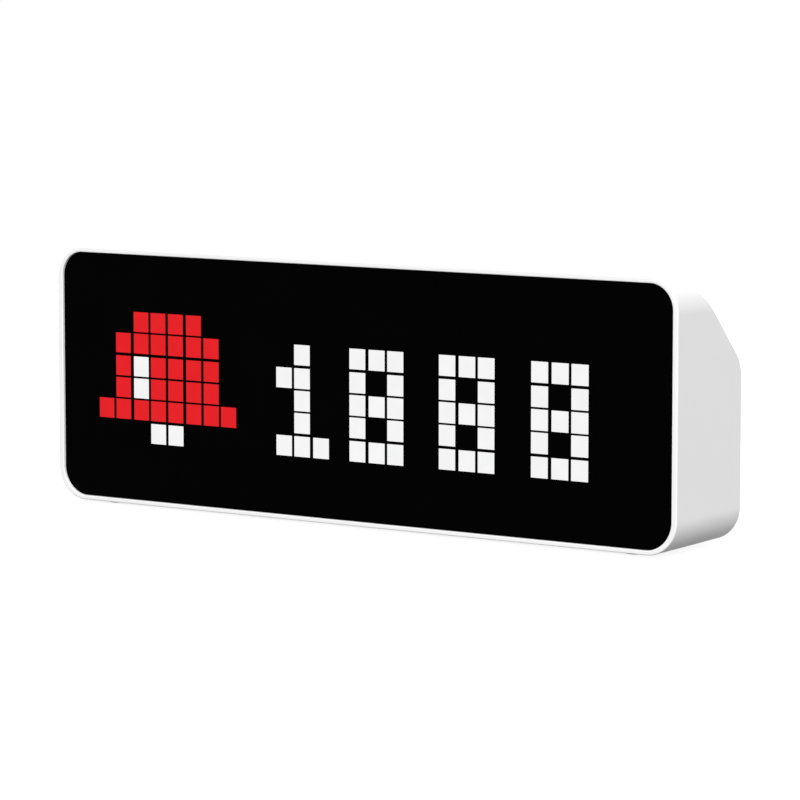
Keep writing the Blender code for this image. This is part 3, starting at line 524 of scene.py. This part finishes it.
def housing():
    s = housingSet
    shell = outerCase()
    cavityBack = caseSize.y - s["wall"]
    cutters = [asObject("cavity", caseForm(s["wall"], s["ledgeDepth"] - s["overrun"], cavityBack))]
    width, height, middle = panelOpening()
    outline = roundedSheet(
        width, height, panelSet["upperRadius"], s["cornerSteps"], panelSet["lowerRadius"]
    )
    pocket = mouth(outline, width, height, s["ledgeDepth"], panelSet["pocketEdge"])
    cutters.append(asObject("pocket", standing(pocket, "front", Vector((0, caseLow.y, middle)))))
    through = s["wall"] + s["overrun"]
    for name in ("left", "middle", "right"):
        button = middleOf(name + "_button")
        slot = roundMouth(capSet["length"] + 2 * s["gap"], capSet["width"] + 2 * s["gap"], through)
        drop = (button.y - caseLow.y) * math.tan(s["draft"])
        place = Vector((button.x, button.y, caseHigh.z - drop))
        cutters.append(asObject(name + "Slot", standing(slot, "top", place)))
    power = middleOf("power_button")
    hole = powerSet["radius"] * 2 + 2 * s["gap"]
    place = Vector((power.x, caseHigh.y, power.z))
    cutters.append(asObject("powerHole", standing(roundMouth(hole, hole, through), "back", place)))
    socket = middleOf("socket_shell")
    size = sizeOf("socket_shell")
    slot = roundMouth(size.x + 2 * s["gap"], size.z + 2 * s["gap"], through)
    cutters.append(asObject("socketSlot", standing(slot, "back", Vector((socket.x, caseHigh.y, socket.z)))))
    buzzer = middleOf("buzzer")
    around = [(0, 0)]
    for turn in range(s["ventsRound"]):
        angle = turn * math.tau / s["ventsRound"]
        around.append((s["ventPitch"] * math.cos(angle), s["ventPitch"] * math.sin(angle)))
    for number, (across, up) in enumerate(around):
        vent = roundMouth(2 * s["ventRadius"], 2 * s["ventRadius"], through, s["ventSteps"])
        place = Vector((buzzer.x + across, caseHigh.y, buzzer.z + up))
        cutters.append(asObject(f"vent{number}", standing(vent, "back", place)))
    for name in footNames:
        foot = middleOf(name)
        radius = sizeOf(name).x / 2 + s["gap"]
        recess = roundMouth(2 * radius, 2 * radius, s["footRecess"])
        rise = (foot.y - caseLow.y) * math.tan(s["draft"])
        place = Vector((foot.x, foot.y, caseLow.z + rise))
        cutters.append(asObject(name + "Recess", standing(recess, "bottom", place)))
    cutAway(shell, cutters)
    return finishedPiece(shell, "white_plastic", clockBody, ["housing"])


# Front panel and its lit pixels

panelSet = {
    "sideRim": 0.0016, "upperRim": 0.00143, "lowerRim": 0.00120, "upperRadius": 0.0068,
    "lowerRadius": 0.0079, "pocketEdge": 0.00025, "gap": 0.00006, "recess": 0.0007, "edge": 0.00012,
    "edgeSteps": 3,
}


def panelOpening():
    # Width, height and middle level of the pocket that the panel sits in
    s = panelSet
    height = caseSize.z - s["upperRim"] - s["lowerRim"]
    return caseSize.x - 2 * s["sideRim"], height, caseLow.z + s["lowerRim"] + height / 2


def panelFront():
    return caseLow.y + panelSet["recess"]


def frontPanel():
    s = panelSet
    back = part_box("front_panel")[1].y
    width, height, middle = panelOpening()
    width, height, thickness = width - 2 * s["gap"], height - 2 * s["gap"], back - panelFront()
    sheet = roundedSheet(
        width, height, s["upperRadius"] - s["gap"], housingSet["cornerSteps"], s["lowerRadius"] - s["gap"]
    )
    sections = [(width, height, 0), *roundOver(width, height, thickness, s["edge"], s["edgeSteps"])]
    shape = standing(stack(sheet, sections), "front", Vector((0, back, middle)))
    return finishedPiece(asObject("frontPanel", shape), "smoked_acrylic", clockBody, ["front_panel"])


# Left edges are measured from the clock's middle, the top of the first row from the housing's base.
# Steps are counted from the first column and row of each, and aren't quite even.
pixelSet = {
    "width": 0.00515, "height": 0.00548, "top": 0.05329,
    "rowSteps": (0, 0.00598, 0.01228, 0.01832, 0.02432, 0.03060),
    "symbolLeft": -0.08628,
    "symbolSteps": (0, 0.00594, 0.01220, 0.01811, 0.02415, 0.03037, 0.03637, 0.04226),
    "oneLeft": -0.02528, "oneSteps": (0, 0.00597, 0.01222),
    "eightLefts": (-0.00114, 0.02757, 0.05627), "eightSteps": (0, 0.00624, 0.01224),
    "proud": 0.00002, "sunk": 0.00010, "corner": 0.00008, "cornerSteps": 2,
}

# A bell, r for red and w for white, in the rows from the top
bell = ("..rrrr..", ".rrrrrr.", ".rwrrrr.", ".rwrrrr.", "rrrrrrrr", "...ww...")
one = ("...", ".w.", "ww.", ".w.", ".w.", "www")
eight = ("...", "www", "w.w", "www", "w.w", "www")


def litCells():
    # The left edge, the row and the colour of every lit pixel
    s = pixelSet
    motifs = [(s["symbolLeft"], s["symbolSteps"], bell), (s["oneLeft"], s["oneSteps"], one)]
    motifs += [(left, s["eightSteps"], eight) for left in s["eightLefts"]]
    for left, steps, motif in motifs:
        for row, line in enumerate(motif):
            for step, mark in zip(steps, line):
                if mark != ".":
                    yield left + step, row, mark


def pixelTiles(name, mark, finish):
    s = pixelSet
    shape = bmesh.new()
    thickness = s["proud"] + s["sunk"]
    for left, row, found in litCells():
        if found != mark:
            continue
        x = left + s["width"] / 2
        z = caseLow.z + s["top"] - s["rowSteps"][row] - s["height"] / 2
        place = Matrix.Translation((x, panelFront() - s["proud"] + thickness / 2, z))
        size = Matrix.Diagonal((s["width"], thickness, s["height"], 1))
        bmesh.ops.create_cube(shape, size=1, matrix=place @ size)
    roundEdges(shape, edgesAlong(shape, yAxis), s["corner"], s["cornerSteps"])
    piece = asObject(name, shape)
    return finishedPiece(piece, finish, clockBody)


# Buttons

capSet = {
    "length": 0.012, "width": 0.003, "stemLength": 0.004, "stemWidth": 0.0024, "stemHeight": 0.0008,
    "flange": 0.0009, "edge": 0.00035, "edgeSteps": 5, "endSteps": 14,
}


def topButton(name, body, node):
    s = capSet
    low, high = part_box(node)
    size = high - low
    sheet = roundEnded(s["stemLength"], s["stemWidth"], s["endSteps"])
    flangeTop = s["stemHeight"] + s["flange"]
    sections = [
        (s["stemLength"], s["stemWidth"], 0),
        (s["stemLength"], s["stemWidth"], s["stemHeight"]),
        (size.x, size.y, s["stemHeight"]),
        (size.x, size.y, flangeTop),
        (s["length"], s["width"], flangeTop),
        *roundOver(s["length"], s["width"], size.z, s["edge"], s["edgeSteps"]),
    ]
    place = Vector(((low.x + high.x) / 2, (low.y + high.y) / 2, low.z))
    shape = standing(stack(sheet, sections), "top", place)
    return finishedPiece(asObject(name, shape), "white_plastic", body, [node])


powerSet = {
    "radius": 0.0025, "stemRadius": 0.0013, "stemHeight": 0.0006, "flange": 0.0009, "edge": 0.00030,
    "dish": 0.0003, "dishSteps": 6, "edgeSteps": 4, "turnSteps": 64,
}


def powerButton():
    # A turned button whose face is dished
    s = powerSet
    low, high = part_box("power_button")
    height = high.y - low.y
    flangeRadius = (high.x - low.x) / 2
    flangeTop = s["stemHeight"] + s["flange"]
    profile = [
        (0, 0), (s["stemRadius"], 0), (s["stemRadius"], s["stemHeight"]), (flangeRadius, s["stemHeight"]),
        (flangeRadius, flangeTop), (s["radius"], flangeTop),
        *turnedRound(s["radius"], height, s["edge"], s["edgeSteps"]),
    ]
    inside = s["radius"] - s["edge"]
    for step in range(1, s["dishSteps"] + 1):
        share = 1 - step / s["dishSteps"]
        profile.append((inside * share, height - s["dish"] * (1 - share**2)))
    shape = turned(profile, s["turnSteps"])
    place = Vector(((low.x + high.x) / 2, low.y, (low.z + high.z) / 2))
    piece = asObject("powerButton", standing(shape, "back", place))
    return finishedPiece(piece, "white_plastic", "power_key", ["power_button"])


# Feet

footNames = ("foot_front_left", "foot_front_right", "foot_back_left", "foot_back_right")
footSet = {"edge": 0.0003, "edgeSteps": 4, "turnSteps": 64}


def foot(node):
    s = footSet
    low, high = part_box(node)
    radius, height = (high.x - low.x) / 2, high.z - low.z
    profile = [(0, 0), (radius, 0), *turnedRound(radius, height, s["edge"], s["edgeSteps"]), (0, height)]
    shape = turned(profile, s["turnSteps"])
    place = Vector(((low.x + high.x) / 2, (low.y + high.y) / 2, high.z))
    words = node.split("_")
    name = words[0] + "".join(word.capitalize() for word in words[1:])
    piece = asObject(name, standing(shape, "bottom", place))
    return finishedPiece(piece, "foot_rubber", clockBody, [node])


# Rear socket

socketSet = {
    "wall": 0.0003, "edge": 0.00008, "edgeSteps": 3, "endSteps": 14, "tongueWidth": 0.0066,
    "tongueThickness": 0.0007, "rootLength": 0.0009, "tongueEdge": 0.0002, "contacts": 12,
    "contactPitch": 0.0005, "contactWidth": 0.00026, "contactLength": 0.0034, "contactProud": 0.00002,
    "contactThickness": 0.00008, "contactEnd": 0.0006,
}


def socketShell():
    # A steel shell with a rolled mouth, open to the back
    s = socketSet
    low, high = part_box("socket_shell")
    size = high - low
    width, height, length = size.x, size.z, size.y
    sheet = roundEnded(width, height, s["endSteps"])
    inner = (width - 2 * s["wall"], height - 2 * s["wall"])
    lip = roundOver(width, height, length, s["edge"], s["edgeSteps"])
    inward = [(inner[0] + 2 * s["edge"], inner[1] + 2 * s["edge"], length), (*inner, length - s["edge"])]
    sections = [(width, height, 0), *lip, *inward, (*inner, s["wall"])]
    place = Vector(((low.x + high.x) / 2, low.y, (low.z + high.z) / 2))
    shape = standing(stack(sheet, sections), "back", place)
    return finishedPiece(asObject("socketShell", shape), "steel", clockBody, ["socket_shell"])


def socketTongue():
    s = socketSet
    low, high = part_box("socket_tongue")
    size = high - low
    length = size.y
    sheet = roundEnded(size.x, size.z, s["endSteps"])
    width, thickness = s["tongueWidth"], s["tongueThickness"]
    sections = [
        (size.x, size.z, 0), (size.x, size.z, s["rootLength"]), (width, thickness, s["rootLength"]),
        *roundOver(width, thickness, length, s["tongueEdge"], s["edgeSteps"]),
    ]
    place = Vector(((low.x + high.x) / 2, low.y, (low.z + high.z) / 2))
    shape = standing(stack(sheet, sections), "back", place)
    return finishedPiece(asObject("socketTongue", shape), "black_plastic", clockBody, ["socket_tongue"])


def socketContacts():
    # Gold strips along both faces of the tongue
    s = socketSet
    low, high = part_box("socket_tongue")
    centre = (low + high) / 2
    end = high.y - s["contactEnd"]
    shape = bmesh.new()
    for face in (-1, 1):
        level = centre.z + face * (s["tongueThickness"] / 2 + s["contactProud"] - s["contactThickness"] / 2)
        for number in range(s["contacts"]):
            x = centre.x + (number - (s["contacts"] - 1) / 2) * s["contactPitch"]
            place = Matrix.Translation((x, end - s["contactLength"] / 2, level))
            size = Matrix.Diagonal((s["contactWidth"], s["contactLength"], s["contactThickness"], 1))
            bmesh.ops.create_cube(shape, size=1, matrix=place @ size)
    return finishedPiece(asObject("socketContacts", shape), "contact_gold", clockBody)


housing()
frontPanel()
pixelTiles("whitePixels", "w", "lit_white")
pixelTiles("redPixels", "r", "lit_red")
print("housing, panel and lit pixels made")

for side in ("left", "middle", "right"):
    topButton(side + "Button", side + "_key", side + "_button")
powerButton()
for footName in footNames:
    foot(footName)
socketShell()
socketTongue()
socketContacts()
print("buttons, feet and socket made")


# Inner parts keep their solids and take their finish by slot

for part in frame["record"]["subparts"]:
    node = cadNodes[part["node"]]
    node.data.materials.clear()
    node.data.materials.append(finishes[part["material_slot"]])
print("inner parts finished")


# Floor, backdrop and light

stageSet = {"floorSize": 60, "floorColour": 0.09, "seenColour": 0.22, "seenGlow": 0.90, "skyLight": 0.52}


def whiteToCamera(tree):
    # 1 for rays from the camera and for those that gloss and glass send out
    path = tree.nodes.new("ShaderNodeLightPath")
    total = path.outputs["Is Camera Ray"]
    for output in ("Is Glossy Ray", "Is Transmission Ray"):
        join = tree.nodes.new("ShaderNodeMath")
        join.operation = "MAXIMUM"
        tree.links.new(total, join.inputs[0])
        tree.links.new(path.outputs[output], join.inputs[1])
        total = join.outputs["Value"]
    return total


def makeFloor():
    # Pale to look at with the clock's shadow on it, and greyer for the light that it throws back
    s = stageSet
    shape = bmesh.new()
    bmesh.ops.create_grid(shape, x_segments=1, y_segments=1, size=s["floorSize"] / 2)
    floor = asObject("floor", shape)
    material = bpy.data.materials.new("floorPaper")
    material.use_nodes = True
    tree = material.node_tree
    tree.nodes.clear()
    out = tree.nodes.new("ShaderNodeOutputMaterial")
    grey = tree.nodes.new("ShaderNodeBsdfDiffuse")
    grey.inputs["Color"].default_value = (*[s["floorColour"]] * 3, 1)
    seen = tree.nodes.new("ShaderNodeBsdfDiffuse")
    seen.inputs["Color"].default_value = (*[s["seenColour"]] * 3, 1)
    glow = tree.nodes.new("ShaderNodeEmission")
    glow.inputs["Strength"].default_value = s["seenGlow"]
    added = tree.nodes.new("ShaderNodeAddShader")
    tree.links.new(seen.outputs["BSDF"], added.inputs[0])
    tree.links.new(glow.outputs["Emission"], added.inputs[1])
    chosen = tree.nodes.new("ShaderNodeMixShader")
    tree.links.new(whiteToCamera(tree), chosen.inputs["Fac"])
    tree.links.new(grey.outputs["BSDF"], chosen.inputs[1])
    tree.links.new(added.outputs["Shader"], chosen.inputs[2])
    tree.links.new(chosen.outputs["Shader"], out.inputs["Surface"])
    floor.data.materials.append(material)


def makeSky():
    s = stageSet
    world = bpy.data.worlds.new("studio")
    bpy.context.scene.world = world
    world.use_nodes = True
    tree = world.node_tree
    tree.nodes.clear()
    out = tree.nodes.new("ShaderNodeOutputWorld")
    backdrop = tree.nodes.new("ShaderNodeBackground")
    backdrop.inputs["Color"].default_value = (1, 1, 1, 1)
    spread = tree.nodes.new("ShaderNodeMapRange")
    spread.inputs["To Min"].default_value = s["skyLight"]
    spread.inputs["To Max"].default_value = 1
    tree.links.new(whiteToCamera(tree), spread.inputs["Value"])
    tree.links.new(spread.outputs["Result"], backdrop.inputs["Strength"])
    tree.links.new(backdrop.outputs["Background"], out.inputs["Surface"])


lamps = {
    "keySoftbox": {"azimuth": 35, "elevation": 26, "distance": 4.4, "size": (2.0, 2.0), "watts": 197},
    "leftSoftbox": {"azimuth": -100, "elevation": 12, "distance": 2.2, "size": (1.2, 1.2), "watts": 17},
    "backSoftbox": {"azimuth": 196, "elevation": 12, "distance": 2.2, "size": (1.2, 1.2), "watts": 25},
}


def towards(azimuth, elevation):
    # Azimuth 0 points away from the clock's front and 90 away from its right side
    azimuth, elevation = math.radians(azimuth), math.radians(elevation)
    across = math.cos(elevation)
    return Vector((math.sin(azimuth) * across, -math.cos(azimuth) * across, math.sin(elevation)))


def makeLamp(name, s):
    # Stands off the clock and is aimed at its middle
    lamp = bpy.data.lights.new(name, "AREA")
    lamp.shape = "RECTANGLE"
    lamp.size, lamp.size_y = s["size"]
    lamp.energy = s["watts"]
    holder = bpy.data.objects.new(name, lamp)
    bpy.context.scene.collection.objects.link(holder)
    away = towards(s["azimuth"], s["elevation"])
    holder.location = caseMiddle + away * s["distance"]
    holder.rotation_euler = away.to_track_quat("Z", "Y").to_euler()


makeFloor()
makeSky()
for lampName, settings in lamps.items():
    makeLamp(lampName, settings)


# Camera, aimed at the point that the picture's middle shows: across, behind the front plane and up

cameraSet = {
    "aim": (0.015336, 0.0005, 0.035442), "azimuth": 34.9214, "elevation": 6.3771, "distance": 1.053848,
    "lens": 180.59, "sensor": 36,
}


def makeCamera():
    s = cameraSet
    lens = bpy.data.cameras.new("camera")
    lens.lens = s["lens"]
    lens.sensor_width = s["sensor"]
    holder = bpy.data.objects.new("camera", lens)
    bpy.context.scene.collection.objects.link(holder)
    away = towards(s["azimuth"], s["elevation"])
    holder.location = Vector(s["aim"]) + Vector((0, caseLow.y, 0)) + away * s["distance"]
    holder.rotation_euler = (math.radians(90 - s["elevation"]), 0, math.radians(s["azimuth"]))
    bpy.context.scene.camera = holder


makeCamera()
bpy.context.scene.view_settings.view_transform = "Standard"
print("stage, lamps and camera set")
